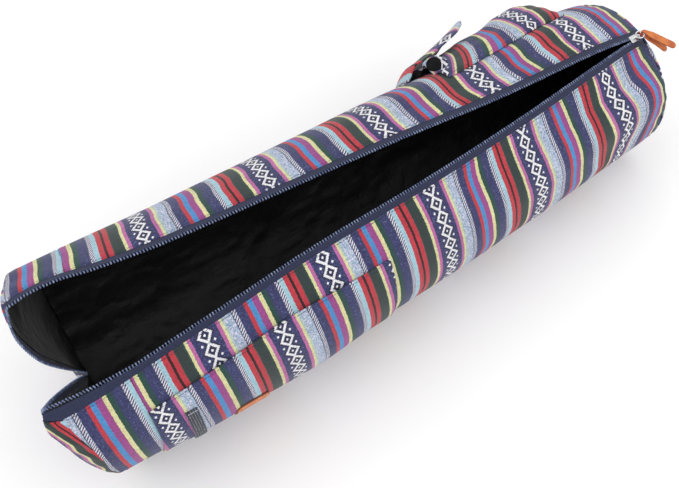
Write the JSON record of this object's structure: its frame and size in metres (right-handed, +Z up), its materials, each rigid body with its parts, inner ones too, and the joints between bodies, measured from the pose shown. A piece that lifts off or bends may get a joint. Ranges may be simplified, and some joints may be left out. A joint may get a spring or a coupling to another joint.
{
  "type": "yoga mat bag",
  "caption": "Long round cloth bag for a rolled mat, lying open along its zip, with a slip pocket, a puffed pocket with a flap, and a leather pull.",
  "frame": {"origin": "under the middle of the whole bag's box, on the plane it rests on", "axes": "+X along the bag from its split end to its closed end, -Y towards the front pocket, +Z up"},
  "size_m": [0.6888, 0.2254, 0.1931],
  "materials": {
    "striped_cloth": "woven cotton with many-coloured cross stripes, matt",
    "black_lining": "thin black woven lining, slightly satin",
    "navy_tape": "woven zip tape",
    "zip_teeth": "moulded zip teeth, slightly glossy",
    "silver_metal": "plated zinc",
    "tan_leather": "smooth tan leather",
    "charcoal_webbing": "ribbed webbing",
    "black_snap": "black press stud, glossy"
  },
  "bodies": {
    "root": {"body_main": "striped_cloth", "body_end_panel": "striped_cloth", "end_cap_right": "striped_cloth", "end_cap_left": "striped_cloth", "front_pocket": "striped_cloth", "back_pocket": "striped_cloth", "pocket_flap": "striped_cloth", "lining_body": "black_lining", "lining_end_right": "black_lining", "lining_end_left": "black_lining", "zip_tape_front": "navy_tape", "zip_tape_back": "navy_tape", "zip_teeth_front": "zip_teeth", "zip_teeth_back": "zip_teeth", "zip_slider": "silver_metal", "pull_ring": "silver_metal", "pull_leather": "tan_leather", "leather_patch": "tan_leather", "webbing_tab": "charcoal_webbing", "snap_cap": "black_snap", "snap_socket": "black_snap"}
  },
  "joints": []
}
